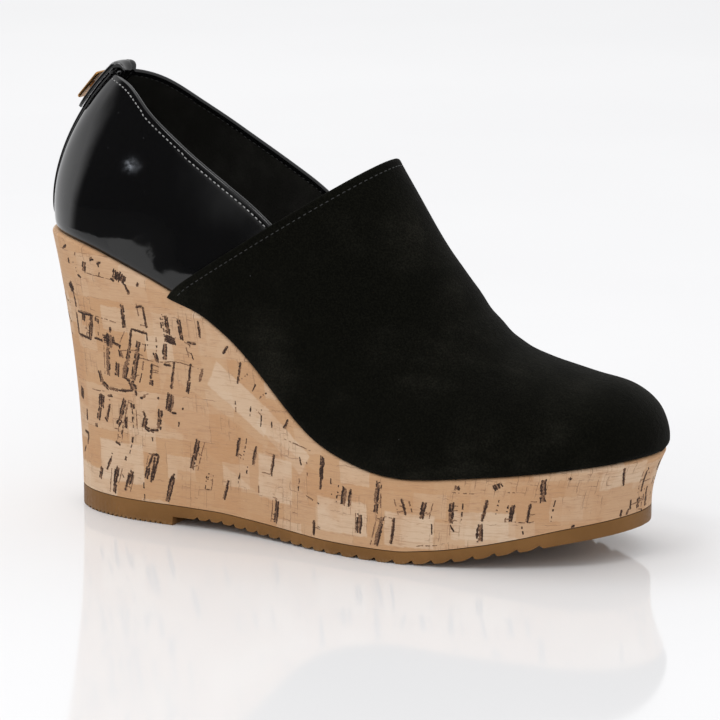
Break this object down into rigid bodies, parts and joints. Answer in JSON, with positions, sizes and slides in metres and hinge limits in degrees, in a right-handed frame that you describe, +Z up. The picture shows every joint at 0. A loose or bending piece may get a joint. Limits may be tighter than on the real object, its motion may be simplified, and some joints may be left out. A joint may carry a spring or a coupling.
{
  "type": "wedge loafer",
  "caption": "Right slip-on wedge loafer: patent quarter, suede vamp with a slanted throat, high cork wedge on a platform, gum rubber sole and a pull tab with a bare plate.",
  "frame": {"origin": "on the floor, under the middle of the heel's flat rest", "axes": "+X from heel to toe, +Z up, so -Y is the outer side of this right shoe"},
  "size_m": [0.2421, 0.0918, 0.1658],
  "materials": {
    "rubber": "matte gum rubber",
    "cork": "matte pressed cork sheet",
    "lining": "matte",
    "patent": "high gloss patent",
    "suede": "napped suede",
    "brass": "polished"
  },
  "bodies": {
    "root": {"outsole": "rubber", "wedge": "cork", "insole": "lining", "upper": "patent", "vamp": "suede", "backstay": "patent", "heel_tab": "patent", "heel_plate": "brass"}
  },
  "joints": []
}
